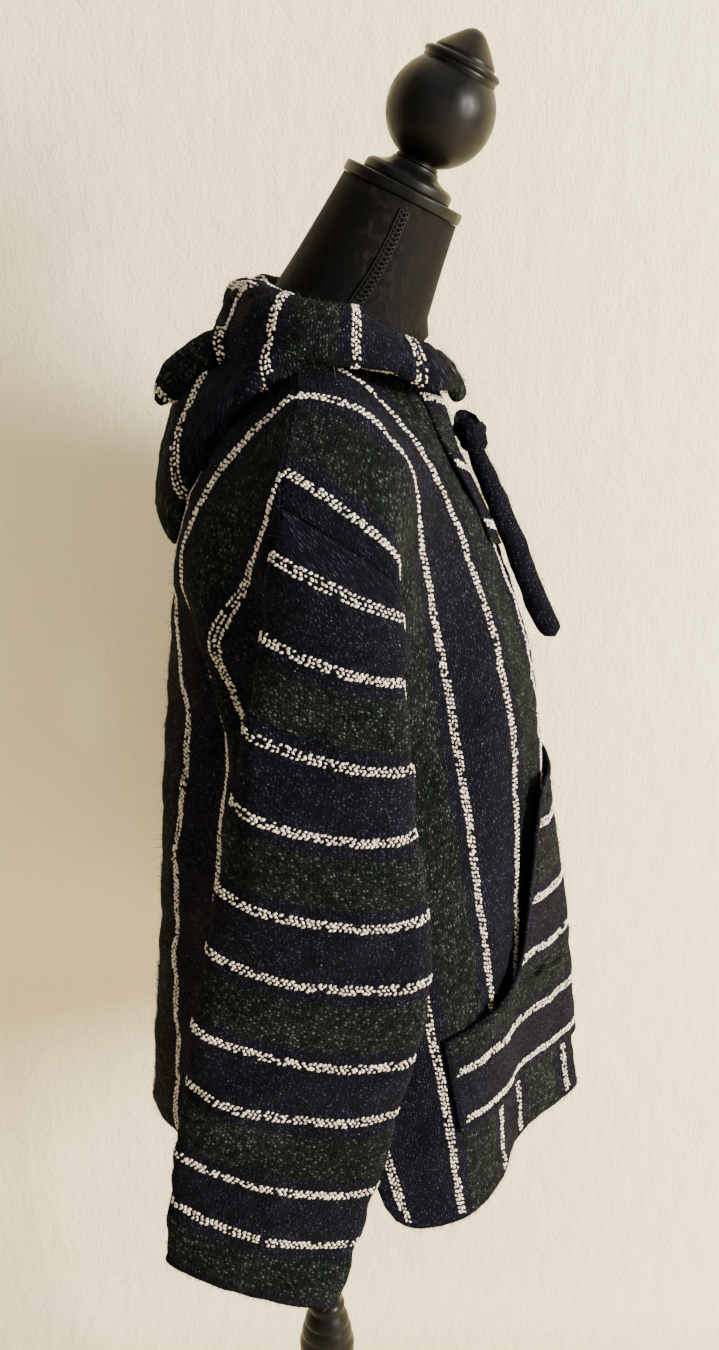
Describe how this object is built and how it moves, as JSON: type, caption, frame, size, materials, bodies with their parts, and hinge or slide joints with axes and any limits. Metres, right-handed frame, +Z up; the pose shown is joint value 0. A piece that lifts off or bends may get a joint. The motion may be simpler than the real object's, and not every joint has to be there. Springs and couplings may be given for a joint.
{
  "type": "hooded pullover poncho on a limbless dress form",
  "caption": "Hooded pullover poncho of striped blanket cloth with a front pocket and neck ties, on a black limbless dress form with a turned finial and column.",
  "frame": {"origin": "middle of the underside of the round base, on the floor", "axes": "+Z up, -Y the way the garment's front faces, -X the wearer's right"},
  "size_m": [0.5266, 0.4084, 1.5161],
  "materials": {
    "jerga_cloth": "napped heavy cotton and wool weave, striped green, navy and off-white",
    "tie_cloth": "napped navy cloth, rolled",
    "form_satin": "black satin jacquard",
    "form_lace": "black lace braid",
    "black_lacquer": "satin black lacquer on turned wood"
  },
  "bodies": {
    "root": {"front_panel": "jerga_cloth", "back_panel": "jerga_cloth", "sleeve_right": "jerga_cloth", "sleeve_left": "jerga_cloth", "hood_right": "jerga_cloth", "hood_left": "jerga_cloth", "placket_right": "jerga_cloth", "placket_left": "jerga_cloth", "pocket": "jerga_cloth", "tie_right": "tie_cloth", "tie_left": "tie_cloth", "tie_knot": "tie_cloth", "form_torso": "form_satin", "form_braid_right": "form_lace", "form_braid_left": "form_lace", "neck_plate": "black_lacquer", "neck_collar": "black_lacquer", "finial": "black_lacquer", "column": "black_lacquer", "base": "black_lacquer"}
  },
  "joints": []
}
